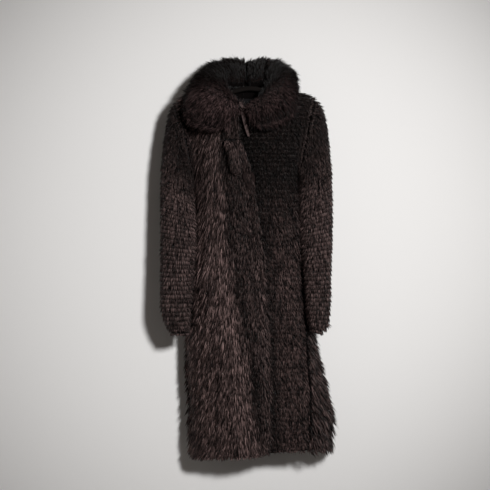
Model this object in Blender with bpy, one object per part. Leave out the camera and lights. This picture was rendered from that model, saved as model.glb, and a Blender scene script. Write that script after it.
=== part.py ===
"""Long shearling coat on a hanger, as it hangs from a hook: metres, +Z up, +X to the viewer's right.

The origin is the inner top of the hanger's hook. The fronts face -Y and the back faces +Y. Right and
left are the wearer's, so the right front and the right sleeve are on the viewer's left. Every wall is
the skin with its pile, so its outer face is where the fur ends.
"""

import math

import bmesh
import bpy
import numpy as np

COLLECTION = "shearling_coat"
SEAM = 0.0003  # between pieces that are sewn together

# The body is a stack of rings. A ring is a blunt oval, told by its angle: 0 at the viewer's left side,
# 90 at the centre back, 180 at the viewer's right side and 270 at the centre front.
CHEST = -0.300  # the shoulders' roll starts here
UNDERARM = -0.340
BLUNT = 2.5  # 2 is an ellipse, and more is nearer to a box
SHOULDER_NECK = -0.056  # height of the shoulder line, carried to the centre
SHOULDER_SLOPE = 0.32
LEVEL_TOP = -0.086  # where the roll's top reads the body's table
PILE = 0.014  # skin and pile on the body

BODY = (
    ("z", "centre", "half_width", "side_y", "front", "back", "tilt", "side_pile"),
    (
        (-1.180, 0.032, 0.194, 0.006, 0.082, 0.044, 0.085, 0.014),
        (-1.090, 0.037, 0.203, 0.010, 0.086, 0.042, 0.070, 0.014),
        (-1.010, 0.028, 0.197, 0.014, 0.088, 0.038, 0.052, 0.014),
        (-0.900, 0.013, 0.188, 0.020, 0.090, 0.034, 0.032, 0.014),
        (-0.800, 0.000, 0.178, 0.022, 0.090, 0.032, 0.018, 0.010),
        (-0.700, -0.0045, 0.1685, 0.022, 0.090, 0.032, 0.008, 0.008),
        (-0.560, -0.0055, 0.158, 0.020, 0.088, 0.034, 0.000, 0.008),
        (-0.440, -0.009, 0.1515, 0.010, 0.082, 0.042, 0.000, 0.008),
        (-0.340, -0.0105, 0.148, 0.000, 0.080, 0.050, 0.000, 0.008),
        (-0.240, -0.0105, 0.166, 0.000, 0.080, 0.050, 0.000, 0.010),
        (-0.160, -0.0105, 0.186, 0.000, 0.080, 0.050, 0.000, 0.012),
        (-0.080, -0.0105, 0.203, 0.000, 0.080, 0.050, 0.000, 0.012),
    ),
)

# Rows of the body's grid: above the chest a share of the roll up to the shoulder seam or the neck,
# below it a height.
ROLL_ROWS = (1.0, 0.85, 0.70, 0.56, 0.42, 0.28, 0.13, 0.0)
DROP_ROWS = (
    -0.325, -0.340, -0.365, -0.40, -0.45, -0.50, -0.56, -0.62, -0.68, -0.74,
    -0.80, -0.86, -0.92, -0.98, -1.04, -1.09, -1.135, -1.172,
)
ARMHOLE_ROWS = 10  # the last is the underarm
SHOULDER_COLUMNS = 4
FRONT_COLUMNS = 9
BACK_COLUMNS = 10
SIDE_COLUMNS = 2

# Half the width between the armholes at each of their rows, from the shoulder seam down, as a share of
# the ring's half width.
ARMHOLE = (0.900, 0.905, 0.905, 0.905, 0.912, 0.925, 0.940, 0.960, 0.985, 1.0)

NECK_HALF = 0.078  # from the centre to the shoulder seam's inner end
FRONT_NECK = 37.0  # the neck's lowest point on the front's roll, in degrees
BACK_NECK = 62.0

# Where the front edges lie. The right front laps over the left one.
EDGES = (
    ("z", "right_front", "left_front"),
    (
        (-1.180, 0.054, -0.014),
        (-1.080, 0.060, -0.010),
        (-0.950, 0.058, -0.012),
        (-0.810, 0.054, -0.018),
        (-0.690, 0.046, -0.024),
        (-0.567, 0.036, -0.032),
        (-0.417, 0.018, -0.046),
        (-0.300, -0.004, -0.056),
        (-0.230, -0.016, -0.056),
        (-0.160, -0.034, -0.052),
    ),
)
LAP_RISE = 0.0100  # how far the upper front stands off the lower one's skin
LAP_FULL = 0.082  # within this of its edge the upper front has its whole rise
LAP_START = 0.150
LAP_PILE = 0.0060  # the lower front's wall under the lap

# The side seam on the viewer's right comes round to the front below the underarm.
SIDE_SEAM = (
    ("z", "x"),
    (
        (-1.180, 0.168),
        (-1.050, 0.176),
        (-0.900, 0.164),
        (-0.800, 0.158),
        (-0.690, 0.152),
        (-0.600, 0.142),
        (-0.500, 0.126),
        (-0.430, 0.119),
        (-0.400, 0.122),
    ),
)

# Soft folds, as lines down the cloth: the side they are on, where they start, pass and end, half their
# width, and how far they stand out (in, where negative).
FOLDS = (
    ("side", "z0", "x0", "z1", "x1", "z2", "x2", "width", "height"),
    (
        ("front", -0.200, -0.088, -0.600, -0.057, -1.200, 0.038, 0.020, -0.010),
        ("front", -0.240, -0.120, -0.700, -0.100, -1.200, -0.020, 0.030, 0.009),
        ("front", -0.250, 0.035, -0.700, 0.090, -1.200, 0.110, 0.026, -0.006),
        ("front", -0.320, 0.075, -0.700, 0.120, -1.200, 0.150, 0.022, 0.006),
        ("front", -0.700, -0.140, -0.950, -0.150, -1.200, -0.150, 0.020, -0.006),
        ("back", -0.420, -0.080, -0.800, -0.095, -1.200, -0.105, 0.026, 0.012),
        ("back", -0.480, -0.030, -0.800, -0.030, -1.200, -0.030, 0.028, -0.008),
        ("back", -0.420, 0.035, -0.800, 0.050, -1.200, 0.070, 0.030, 0.012),
        ("back", -0.600, 0.100, -0.850, 0.120, -1.200, 0.150, 0.024, -0.007),
    ),
)

# The sleeves: rings given by their outermost and innermost points on the skin, half their depth and
# the height of their middle off the hanger's plane. The first is the armhole.
RIGHT_SLEEVE = (
    ("along", "outer_x", "outer_z", "inner_x", "inner_z", "half_depth", "y"),
    (
        (0.00, -0.193, -0.116, -0.159, -0.340, 0.046, -0.012),
        (0.04, -0.207, -0.124, -0.1675, -0.336, 0.047, -0.012),
        (0.08, -0.221, -0.138, -0.1760, -0.348, 0.047, -0.013),
        (0.13, -0.233, -0.160, -0.1755, -0.352, 0.047, -0.013),
        (0.19, -0.241, -0.196, -0.1760, -0.358, 0.046, -0.014),
        (0.26, -0.248, -0.246, -0.1765, -0.368, 0.045, -0.017),
        (0.33, -0.2535, -0.300, -0.1765, -0.384, 0.044, -0.020),
        (0.40, -0.2560, -0.356, -0.1760, -0.412, 0.043, -0.024),
        (0.50, -0.2565, -0.436, -0.1730, -0.468, 0.043, -0.031),
        (0.60, -0.2565, -0.520, -0.1710, -0.534, 0.042, -0.037),
        (0.70, -0.2565, -0.604, -0.1760, -0.608, 0.042, -0.044),
        (0.80, -0.2565, -0.682, -0.1830, -0.682, 0.041, -0.050),
        (0.90, -0.2560, -0.756, -0.1880, -0.756, 0.039, -0.056),
        (0.96, -0.2540, -0.794, -0.1900, -0.794, 0.036, -0.058),
        (1.00, -0.2500, -0.818, -0.1940, -0.820, 0.032, -0.059),
    ),
)
LEFT_SLEEVE = (
    ("along", "outer_x", "outer_z", "inner_x", "inner_z", "half_depth", "y"),
    (
        (0.00, 0.172, -0.116, 0.138, -0.340, 0.046, -0.012),
        (0.04, 0.187, -0.119, 0.1465, -0.336, 0.047, -0.012),
        (0.08, 0.201, -0.134, 0.1550, -0.348, 0.047, -0.013),
        (0.13, 0.212, -0.160, 0.1545, -0.352, 0.047, -0.013),
        (0.19, 0.220, -0.196, 0.1550, -0.358, 0.046, -0.014),
        (0.26, 0.226, -0.246, 0.1555, -0.368, 0.045, -0.017),
        (0.33, 0.2305, -0.300, 0.1560, -0.384, 0.044, -0.020),
        (0.40, 0.2340, -0.356, 0.1565, -0.412, 0.043, -0.024),
        (0.50, 0.2350, -0.436, 0.1575, -0.468, 0.043, -0.031),
        (0.60, 0.2350, -0.520, 0.1625, -0.534, 0.042, -0.037),
        (0.70, 0.2320, -0.604, 0.1690, -0.608, 0.042, -0.044),
        (0.80, 0.2290, -0.682, 0.1740, -0.682, 0.041, -0.050),
        (0.90, 0.2280, -0.756, 0.1790, -0.752, 0.038, -0.056),
        (0.96, 0.2190, -0.794, 0.1850, -0.786, 0.034, -0.058),
        (1.00, 0.2100, -0.816, 0.1900, -0.808, 0.028, -0.059),
    ),
)
SLEEVE_PILE = 0.0095  # at the foot of a fur row
SLEEVE_INNER_PILE = 0.006  # pressed against the body
CUFF_PILE = 0.006
ROW_PITCH = 0.013  # the rows of fur round the sleeves
ROW_RISE = 0.0045
ROW_OVERHANG = 0.86  # share of the pitch at which a row ends
ROWS_START = 0.10
ROWS_END = 0.985
SLEEVE_LINING_RINGS = 15

# The collar's halves, from the centre back to the front ends. The roll is the top of the collar's
# middle line, and the edge its outer end. The neck edge follows the body's neck.
COLLAR_COLUMNS = ("along", "roll_x", "roll_y", "roll_z", "edge_x", "edge_y", "edge_z", "half_thick")
COLLAR_RIGHT = (
    COLLAR_COLUMNS,
    (
        (0.00, -0.0105, 0.056, -0.006, -0.0105, 0.078, -0.140, 0.016),
        (0.14, -0.045, 0.055, 0.004, -0.056, 0.078, -0.136, 0.017),
        (0.28, -0.088, 0.044, -0.003, -0.110, 0.070, -0.128, 0.018),
        (0.42, -0.124, 0.016, -0.027, -0.150, 0.046, -0.106, 0.020),
        (0.54, -0.142, -0.024, -0.058, -0.170, -0.010, -0.096, 0.021),
        (0.66, -0.134, -0.068, -0.090, -0.180, -0.062, -0.138, 0.020),
        (0.78, -0.108, -0.096, -0.118, -0.172, -0.094, -0.186, 0.019),
        (0.90, -0.076, -0.110, -0.140, -0.124, -0.114, -0.216, 0.018),
        (1.00, -0.052, -0.112, -0.152, -0.080, -0.118, -0.214, 0.015),
    ),
)
COLLAR_LEFT = (
    COLLAR_COLUMNS,
    (
        (0.00, -0.0105, 0.056, -0.006, -0.0105, 0.078, -0.140, 0.016),
        (0.14, 0.024, 0.055, 0.003, 0.034, 0.078, -0.136, 0.017),
        (0.28, 0.062, 0.044, 0.002, 0.082, 0.070, -0.126, 0.018),
        (0.42, 0.091, 0.016, -0.021, 0.108, 0.046, -0.092, 0.020),
        (0.54, 0.107, -0.024, -0.052, 0.118, -0.010, -0.080, 0.021),
        (0.66, 0.104, -0.066, -0.084, 0.120, -0.068, -0.132, 0.020),
        (0.78, 0.078, -0.094, -0.112, 0.106, -0.098, -0.176, 0.019),
        (0.90, 0.040, -0.108, -0.136, 0.056, -0.114, -0.208, 0.018),
        (1.00, 0.004, -0.112, -0.150, 0.012, -0.116, -0.198, 0.015),
    ),
)
COLLAR_STATIONS = 18
COLLAR_PARTS = ("back", "front")  # the skins that a half is pieced from
COLLAR_CUTS = (5,)  # station where they are joined
CUT_SEAMS = 4  # width of this join, in seams
CUT_TUCK = 0.93  # how far a skin's end is tucked in at its join
COLLAR_END = ((0.86, 0.006), (0.55, 0.011))  # size and step of the sections that round off its end
COLLAR_ROUND = 16
COLLAR_CLEAR = 0.0055
COLLAR_STAND = 0.010  # the collar rises this far before it rolls
INSIDE_THICK = 0.3  # of the collar's thickness, on the side that it folds over
NECK_EDGE_THICK = 0.4  # the collar's thickness at the neck, as a share
NECK_CLEAR = 0.0032
NECK_INWARD = 0.5  # how far the collar's foot leans into the neck
NECK_UPWARD = 0.3

# The fur tab that hangs from the right half's front end: its middle line, half width and half
# thickness, down its length.
THROAT_TAB = (
    ("z", "x", "half_width", "half_thick"),
    (
        (-0.346, -0.041, 0.008, 0.0035),
        (-0.336, -0.042, 0.014, 0.0060),
        (-0.310, -0.044, 0.017, 0.0080),
        (-0.275, -0.047, 0.021, 0.0085),
        (-0.245, -0.050, 0.026, 0.0085),
        (-0.236, -0.051, 0.027, 0.0070),
    ),
)
TAB_ROUND = 12
TAB_CLEAR = 0.0012

# Smooth strips where the skin's edge is turned: their middle line and half width, down their length.
NECK_FACING = (
    ("z", "x", "half_width"),
    (
        (-0.232, -0.004, 0.003),
        (-0.210, -0.010, 0.005),
        (-0.180, -0.017, 0.006),
        (-0.150, -0.023, 0.006),
        (-0.128, -0.028, 0.005),
    ),
)
FRONT_FACING = (
    ("z", "x", "half_width"),
    (
        (-0.412, 0.014, 0.002),
        (-0.395, 0.008, 0.006),
        (-0.370, 0.000, 0.014),
        (-0.350, -0.004, 0.018),
        (-0.338, -0.005, 0.014),
    ),
)
FACING_THICK = 0.002
FACING_CLEAR = 0.0008
NECK_FACING_CLEAR = 0.004
LEFT_COLLAR_REACH = 0.80  # the left half ends short of its front's edge

LABEL_SIZE = (0.054, 0.001, 0.033)
LABEL_CENTRE = (-0.009, -0.1245)  # x, z
LABEL_CLEAR = 0.0034  # from its middle to the skin behind it

HANGER_REACH = 0.165  # from the middle to an arm's end
HANGER_ARM_RADIUS = 0.0075
HANGER_SAG = 0.014  # the arm's middle line under the skin of the shoulder
HOOK_WIRE = 0.0016  # radius
HOOK_INNER = 0.018
HOOK_TURN = (-90, 150)  # from its foot round to its tip
HANGER_NECK = 0.03  # half the width of the arms' flat middle


def column(table, name):
    columns, rows = table
    return [row[columns.index(name)] for row in rows]


def read(table, name, at):
    """A column of a table at a place along its first column, on a smooth curve through its rows."""
    keys = np.array(column(table, table[0][0]))
    values = np.array(column(table, name))
    at = np.clip(at, keys[0], keys[-1])
    slopes = np.gradient(values, keys)
    low = np.clip(np.searchsorted(keys, at) - 1, 0, len(keys) - 2)
    step = keys[low + 1] - keys[low]
    t = (at - keys[low]) / step
    start = (1 + 2 * t) * (1 - t) ** 2 * values[low] + t * (1 - t) ** 2 * step * slopes[low]
    end = t * t * (3 - 2 * t) * values[low + 1] - t * t * (1 - t) * step * slopes[low + 1]
    return start + end


def eased(low, high, at):
    """0 below low and 1 above high, with a smooth rise between them."""
    t = np.clip((at - low) / (high - low), 0, 1)
    return t * t * (3 - 2 * t)


def unit(vectors):
    return vectors / np.linalg.norm(vectors, axis=-1, keepdims=True)


def signed_power(value, power):
    return np.sign(value) * np.abs(value) ** power


# The body's surface


def body_point(turn, roll, z):
    """The skin at an angle round the ring, at a height z, or above the chest at an angle up the roll."""
    level = z + (LEVEL_TOP - CHEST) * np.sin(np.radians(roll))
    share = -np.cos(np.radians(turn))
    side = np.sign(np.sin(np.radians(turn)))
    centre = read(BODY, "centre", level)
    x = centre + read(BODY, "half_width", level) * share
    depth = np.where(side > 0, read(BODY, "back", level), read(BODY, "front", level))
    bulge = np.maximum(1 - np.abs(share) ** BLUNT, 0) ** (1 / BLUNT)
    y = read(BODY, "side_y", level) + side * depth * bulge * np.cos(np.radians(roll))
    shoulder = SHOULDER_NECK - SHOULDER_SLOPE * np.abs(x - centre)
    top = (shoulder - CHEST) * np.sin(np.radians(roll))
    return np.stack([x, y, z + top + read(BODY, "tilt", level) * (x - centre)], -1)


def body_normal(turn, roll, z):
    """Straight out of the skin, worked out from points close by."""
    turned = body_point(turn + 0.5, roll, z) - body_point(turn - 0.5, roll, z)
    rolled = body_point(turn, roll + 0.5, z) - body_point(turn, roll - 0.5, z)
    raised = body_point(turn, roll, z + 0.002) - body_point(turn, roll, z - 0.002)
    upward = np.where((roll > 0)[..., None], rolled, raised)
    return unit(np.cross(upward, turned))


def fold(side, x, z):
    """How far the folds of one side move the cloth out."""
    total = np.zeros_like(x)
    for name, z0, x0, z1, x1, z2, x2, width, height in FOLDS[1]:
        if name == side:
            line = ((z0, z1, z2)[::-1], (x0, x1, x2)[::-1])
            middle = np.interp(z, *line)
            fade = eased(z0, z0 - 0.18, z)
            total = total + height * fade * np.exp(-(((x - middle) / width) ** 2))
    return total


def turn_at(x, z, front):
    """The angle round the ring at which x is reached, on the front or on the back."""
    share = (x - read(BODY, "centre", z)) / read(BODY, "half_width", z)
    angle = np.degrees(np.arccos(np.clip(-share, -1, 1)))
    return 360 - angle if front else angle


def rows():
    """Every row of the body's grid: its share of the roll, and its height."""
    return [(share, CHEST) for share in ROLL_ROWS] + [(0.0, z) for z in DROP_ROWS]


def row_level(share, z):
    return z + (LEVEL_TOP - CHEST) * math.sin(math.radians(share * 90))


def neck_roll(x, front):
    """The roll's angle at the body's top edge: the shoulder seam, and the neck between its ends."""
    centre = read(BODY, "centre", -0.08)
    across = np.clip(np.abs(x - centre) / NECK_HALF, 0, 1)
    lowest = FRONT_NECK if front else BACK_NECK
    return lowest + (90 - lowest) * (1 - np.sqrt(np.maximum(1 - across**2.4, 0)))


def armhole_turn(row, viewer_right, front):
    """The angle of the armhole's edge at a row, or of the side seam below the underarm."""
    share = ARMHOLE[row] if row < ARMHOLE_ROWS else 1.0
    angle = math.degrees(math.acos(share))
    turn = 180 - angle if viewer_right else angle
    return 360 - turn if front else turn


def spread(stops, counts):
    """Angles from stop to stop, evenly within each stretch."""
    pieces = [np.linspace(a, b, n, endpoint=False) for a, b, n in zip(stops, stops[1:], counts)]
    return np.append(np.concatenate(pieces), stops[-1])


def right_seam_turn(row, z):
    """The seam on the viewer's right: at the ring's side under the arm, then round to the front."""
    if row <= ARMHOLE_ROWS - 1:
        return 180.0
    on_front = turn_at(read(SIDE_SEAM, "x", z), z, True)
    return 180 + (on_front - 180) * eased(UNDERARM, -0.43, z)


def panel_turns(panel, row, share, z):
    """A row of angles across one panel, with the shoulder seam's inner end on a column of its own."""
    level = row_level(share, z)
    neck_turn = turn_at(read(BODY, "centre", level) - NECK_HALF, level, False)
    above = row < ARMHOLE_ROWS - 1
    if panel == "back":
        left = armhole_turn(row, False, False)
        right = armhole_turn(row, True, False) if above else right_seam_turn(row, z)
        counts = (SHOULDER_COLUMNS, BACK_COLUMNS, SHOULDER_COLUMNS + SIDE_COLUMNS)
        return spread((left, neck_turn, 180 - neck_turn, right), counts)
    edge_level = min(level, -0.16)
    if panel == "front_right":
        edge = turn_at(read(EDGES, "right_front", edge_level), level, True)
        side = armhole_turn(row, False, True)
        return spread((edge, 360 - neck_turn, side), (FRONT_COLUMNS, SHOULDER_COLUMNS))
    edge = turn_at(read(EDGES, "left_front", edge_level), level, True)
    side = armhole_turn(row, True, True) if above else right_seam_turn(row, z)
    return spread((side, 180 + neck_turn, edge), (SHOULDER_COLUMNS, FRONT_COLUMNS))


def panel_grid(panel):
    """The skin of one panel and the way out of it, row by row."""
    front = panel != "back"
    points = []
    normals = []
    for row, (share, z) in enumerate(rows()):
        turns = panel_turns(panel, row, share, z)
        x = body_point(turns, np.full_like(turns, 90.0 * share), z)[:, 0]
        roll = share * neck_roll(x, front)
        height = np.full_like(turns, z)
        point = body_point(turns, roll, height)
        normal = body_normal(turns, roll, height)
        seen = np.where(np.sin(np.radians(turns)) > 0, fold("back", point[:, 0], point[:, 2]),
                        fold("front", point[:, 0], point[:, 2]))
        points.append(point + normal * seen[:, None])
        normals.append(normal)
    return np.array(points), np.array(normals)


def body_pile(points):
    """The wall's thickness: less at the sides, where the sleeves press."""
    level = points[..., 2]
    share = np.abs(points[..., 0] - read(BODY, "centre", level)) / read(BODY, "half_width", level)
    side = read(BODY, "side_pile", level)
    return PILE + (side - PILE) * eased(0.86, 1.0, share)


def panel_wall(panel):
    """The outer and inner grids of one panel, before its seams are opened."""
    skin, normal = panel_grid(panel)
    pile = body_pile(skin)
    if panel == "front_right":
        inward = read(EDGES, "right_front", np.minimum(skin[..., 2], -0.16)) - skin[..., 0]
        skin = skin + normal * (LAP_RISE * (1 - eased(LAP_FULL, LAP_START, inward)))[..., None]
    if panel == "front_left":
        under = read(EDGES, "right_front", np.minimum(skin[..., 2], -0.16)) - skin[..., 0]
        pile = pile + (LAP_PILE - pile) * eased(-0.022, -0.004, under)
    return skin + normal * pile[..., None], skin


def opened(grid):
    """The grid with its four edges drawn in by half a seam."""
    result = grid.copy()
    for edge, beside in ((0, 1), (-1, -2)):
        result[edge] += unit(grid[beside] - grid[edge]) * SEAM / 2
        result[:, edge] += unit(grid[:, beside] - grid[:, edge]) * SEAM / 2
    return result


# Building solids


def diagonal(corners):
    """Two triangles of a strip between two seams' points. Both pieces at a seam get the same split."""
    first, second, over_second, over_first = corners
    keys = [vert.co.z + 0.31 * vert.co.y + 0.17 * vert.co.x for vert in (first, second)]
    if keys[0] < keys[1]:
        return (first, second, over_second), (first, over_second, over_first)
    return (first, second, over_first), (second, over_second, over_first)


def strip(bm, lower, upper, closed=False):
    """Joins two rows of verts, of which the lower is on the skin and the upper on the pile."""
    count = len(lower)
    for i in range(count if closed else count - 1):
        j = (i + 1) % count
        for triangle in diagonal((lower[i], lower[j], upper[j], upper[i])):
            bm.faces.new(triangle)


def quads(bm, grid, closed=False):
    for above, below in zip(grid, grid[1:]):
        count = len(above)
        for i in range(count if closed else count - 1):
            j = (i + 1) % count
            bm.faces.new((above[i], above[j], below[j], below[i]))


def vert_grid(bm, grid):
    return [[bm.verts.new(point) for point in line] for line in grid]


def finish(name, bm, material, sharp=50):
    bmesh.ops.recalc_face_normals(bm, faces=bm.faces)
    mesh = bpy.data.meshes.new(name)
    bm.to_mesh(mesh)
    bm.free()
    return place(name, mesh, material, sharp)


def place(name, mesh, material, sharp=50):
    mesh.materials.clear()
    mesh.materials.append(material)
    mesh.shade_smooth()
    mesh.set_sharp_from_angle(angle=math.radians(sharp))
    piece = bpy.data.objects.new(name, mesh)
    bpy.data.collections[COLLECTION].objects.link(piece)
    return piece


def build_panel(name, wall, material):
    """A cut piece of the body: an outer and an inner grid, joined round the four edges."""
    outer, inner = (opened(grid) for grid in wall)
    bm = bmesh.new()
    out = vert_grid(bm, outer)
    skin = vert_grid(bm, inner)
    quads(bm, out)
    quads(bm, skin)
    for edge in (0, -1):
        strip(bm, skin[edge], out[edge])
        strip(bm, [line[edge] for line in skin], [line[edge] for line in out])
    finish(name, bm, material)


# Sleeves


def armhole_ring(front, back, viewer_right):
    """The armhole's edge: the shoulder, down the front, the underarm, and up the back."""
    front_column, back_column = (0, -1) if viewer_right else (-1, 0)
    last = ARMHOLE_ROWS - 1
    down = front[: last + 1, front_column]
    up = back[last - 1 : 0 : -1, back_column]
    beside_down = front[: last + 1, 1 if viewer_right else -2]
    beside_up = back[last - 1 : 0 : -1, -2 if viewer_right else 1]
    ring = np.concatenate([down, up])
    away = unit(ring - np.concatenate([beside_down, beside_up]))
    away[last] = unit(front[last - 1, front_column] - front[last, front_column])
    away[last - 2 : last + 3] *= 2.5  # the sleeve leaves the body at a slant under the arm
    return ring + away * SEAM


def sleeve_model(table, along, angle):
    """The skin of a sleeve at places along it and angles round it, 0 outermost and 90 in front."""
    outer = np.stack([read(table, "outer_x", along), read(table, "outer_z", along)], -1)
    inner = np.stack([read(table, "inner_x", along), read(table, "inner_z", along)], -1)
    middle = (outer + inner) / 2
    reach = signed_power(np.cos(angle), 0.87)
    across = middle + (outer - inner) / 2 * reach[..., None]
    depth = read(table, "half_depth", along) * signed_power(np.sin(angle), 0.87)
    return np.stack([across[..., 0], read(table, "y", along) - depth, across[..., 1]], -1)


def sleeve_angles(table, armhole, along):
    """The armhole's points come at their own angles, and lower rings spread theirs evenly."""
    start = sleeve_model(table, np.zeros(2), np.array([0, math.pi]))
    axis = (start[0] - start[1]) / 2
    along_axis = (armhole - start.mean(0)) @ axis / (axis @ axis)
    depth = -(armhole[:, 1] - read(table, "y", 0.0)) / read(table, "half_depth", 0.0)
    own = np.unwrap(np.arctan2(signed_power(depth, 1.15), signed_power(along_axis, 1.15)))
    even = np.arange(len(armhole)) * 2 * math.pi / len(armhole)
    return own + (even - own) * eased(0.0, 0.2, along)


def sleeve_skin(table, armhole, along):
    angle = sleeve_angles(table, armhole, along)
    here = sleeve_model(table, np.full_like(angle, along), angle)
    first = sleeve_angles(table, armhole, 0.0)
    miss = armhole - sleeve_model(table, np.zeros_like(first), first)
    return here + miss * (1 - eased(0.0, 0.08, along))


def sleeve_ring(table, armhole, thickness, along, rise):
    """One ring of a sleeve's pile, and of its skin."""
    skin = sleeve_skin(table, armhole, along)
    step = 0.006
    above = sleeve_skin(table, armhole, max(along - step, 0.0))
    length = sleeve_skin(table, armhole, min(along + step, 1.0)) - above
    round_it = np.roll(skin, -1, 0) - np.roll(skin, 1, 0)
    out = unit(np.cross(length, round_it))
    if np.mean(np.sum(out * (skin - skin.mean(0)), -1)) < 0:
        out = -out
    inward = eased(0.25, 0.9, -np.cos(sleeve_angles(table, armhole, along)))
    pile = SLEEVE_PILE + (SLEEVE_INNER_PILE - SLEEVE_PILE) * inward
    pile = pile * (1 - 0.7 * inward * (1 - eased(0.03, 0.2, along)))
    pile = pile + (CUFF_PILE - pile) * eased(0.93, 1.0, along)
    spacing = np.linalg.norm(length, axis=-1)
    pile = pile + rise * (1 - inward) * np.clip(spacing / spacing.max(), 0, 1) ** 2
    depth = out * pile[:, None]
    depth = thickness + (depth - thickness) * eased(0.0, 0.05, along)
    return skin + depth, skin


def row_places(table):
    """Where the rows of fur start and end along a sleeve, a pitch apart on its outer side."""
    along = np.linspace(0, 1, 400)
    outer = np.stack([read(table, "outer_x", along), read(table, "outer_z", along)], -1)
    length = np.append(0, np.cumsum(np.linalg.norm(np.diff(outer, axis=0), axis=1)))
    start, end = np.interp((ROWS_START, ROWS_END), along, length)
    starts = np.arange(start, end - ROW_PITCH, ROW_PITCH)
    return np.interp(starts, length, along), np.interp(starts + ROW_PITCH * ROW_OVERHANG, length, along)


def build_sleeve(name, table, front, back, viewer_right, material):
    armhole = armhole_ring(front[1], back[1], viewer_right)
    thickness = armhole_ring(front[0], back[0], viewer_right) - armhole
    rings = [(0.0, 0.0), (0.025, 0.0), (0.05, 0.0), (0.075, 0.0)]
    for start, end in zip(*row_places(table)):
        rings += [(start, 0.0), (end, ROW_RISE)]
    rings.append((1.0, 0.0))
    bm = bmesh.new()
    outer = [sleeve_ring(table, armhole, thickness, at, rise)[0] for at, rise in rings]
    inner_at = np.append(np.linspace(0, 0.12, 5), np.linspace(0.18, 1, SLEEVE_LINING_RINGS - 5))
    inner = [sleeve_ring(table, armhole, thickness, at, 0.0)[1] for at in inner_at]
    out = vert_grid(bm, outer)
    skin = vert_grid(bm, inner)
    quads(bm, out, closed=True)
    quads(bm, skin, closed=True)
    strip(bm, skin[0], out[0], closed=True)
    strip(bm, skin[-1], out[-1], closed=True)
    finish(name, bm, material, sharp=35)


# Collar


def neck_line(front, back, viewer_right):
    """The middle of the wall along the neck from the centre back to a front edge, and the way up."""
    middle_front = (front[0] + front[1]) / 2
    middle_back = (back[0] + back[1]) / 2
    half = BACK_COLUMNS // 2
    start = SHOULDER_COLUMNS + half
    if viewer_right:
        back_part = slice(start, start + half + 1)
        front_part = slice(SHOULDER_COLUMNS, None)
        pieces = (middle_back[:2, back_part], middle_front[:2, front_part])
    else:
        back_part = slice(start, SHOULDER_COLUMNS - 1, -1)
        front_part = slice(FRONT_COLUMNS, None, -1)
        pieces = (middle_back[:2, back_part], middle_front[:2, front_part])
    line = np.concatenate([piece[0] for piece in pieces])
    up = np.concatenate([unit(piece[0] - piece[1]) for piece in pieces])
    inward = (read(BODY, "centre", -0.08), 0, 0) - line
    inward[:, 2] = 0
    up = unit(up + unit(inward) * NECK_INWARD + (0, 0, NECK_UPWARD))
    return line, up


def collar_half(table, line, up, along, reach):
    """One cross-section: a bent oval from the neck edge over the roll to the outer edge."""
    length = np.append(0, np.cumsum(np.linalg.norm(np.diff(line, axis=0), axis=1)))
    at = along * reach * length[-1]
    thick = read(table, "half_thick", along)
    seat = np.array([np.interp(at, length, line[:, k]) for k in range(3)])
    way = unit(np.array([np.interp(at, length, up[:, k]) for k in range(3)]))
    neck = seat + way * (thick * NECK_EDGE_THICK + NECK_CLEAR)
    roll = np.array([read(table, "roll_" + k, along) for k in "xyz"])
    edge = np.array([read(table, "edge_" + k, along) for k in "xyz"])
    stand = neck + way * COLLAR_STAND
    pull = (8 * roll - neck - 3 * stand - edge) / 3
    turn = np.arange(COLLAR_ROUND) * 2 * math.pi / COLLAR_ROUND
    share = ((1 - np.cos(turn)) / 2)[:, None]
    rest = 1 - share
    middle = rest**3 * neck + 3 * rest**2 * share * stand + 3 * rest * share**2 * pull + share**3 * edge
    tangent = rest**2 * (stand - neck) + 2 * rest * share * (pull - stand) + share**2 * (edge - pull)
    flat = unit(np.cross(edge - neck, roll - neck))
    out = unit(np.cross(flat, tangent))
    width = thick * (NECK_EDGE_THICK + (1 - NECK_EDGE_THICK) * eased(0.05, 0.5, share))
    side = signed_power(np.sin(turn), 0.8)[:, None]
    width = np.where(side < 0, np.minimum(width, thick * INSIDE_THICK), width)
    return middle + out * width * side


def outside_body(points, pile):
    """Under 0 inside the shoulders and chest, with their pile, and over 0 outside."""
    x, y, z = (points[..., k] for k in range(3))
    level = np.clip(z, CHEST, -0.08)
    centre = read(BODY, "centre", level)
    share = np.clip(np.abs(x - centre) / read(BODY, "half_width", level), 0, 0.999)
    bulge = (1 - share**BLUNT) ** (1 / BLUNT)
    depth = np.where(y > 0, read(BODY, "back", level), read(BODY, "front", level)) * bulge + pile
    top = SHOULDER_NECK - SHOULDER_SLOPE * np.abs(x - centre) + pile - CHEST
    return np.sqrt((y / depth) ** 2 + (np.maximum(z - CHEST, 0) / top) ** 2) - 1


def rested(points, pile, free):
    """Moves the collar's points out of the body, so that it rests there."""
    points = points.copy()
    for _ in range(4):
        value = outside_body(points, pile)
        steps = np.eye(3) * 0.0005
        ahead = [outside_body(points + step, pile) for step in steps]
        behind = [outside_body(points - step, pile) for step in steps]
        slope = np.stack([a - b for a, b in zip(ahead, behind)], -1) / 0.001
        steep = np.linalg.norm(slope, axis=-1)
        short = np.maximum(-value / steep, 0) * free
        points += unit(slope) * short[..., None]
    return points


def cap(bm, ring):
    """Closes a bent oval with a ladder of faces from side to side."""
    last = len(ring) - 1
    bm.faces.new((ring[0], ring[1], ring[last]))
    for k in range(1, len(ring) // 2 - 1):
        bm.faces.new((ring[k], ring[k + 1], ring[last - k + 1]))
        bm.faces.new((ring[k + 1], ring[last - k], ring[last - k + 1]))
    half = len(ring) // 2
    bm.faces.new((ring[half - 1], ring[half], ring[half + 1]))


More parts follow.
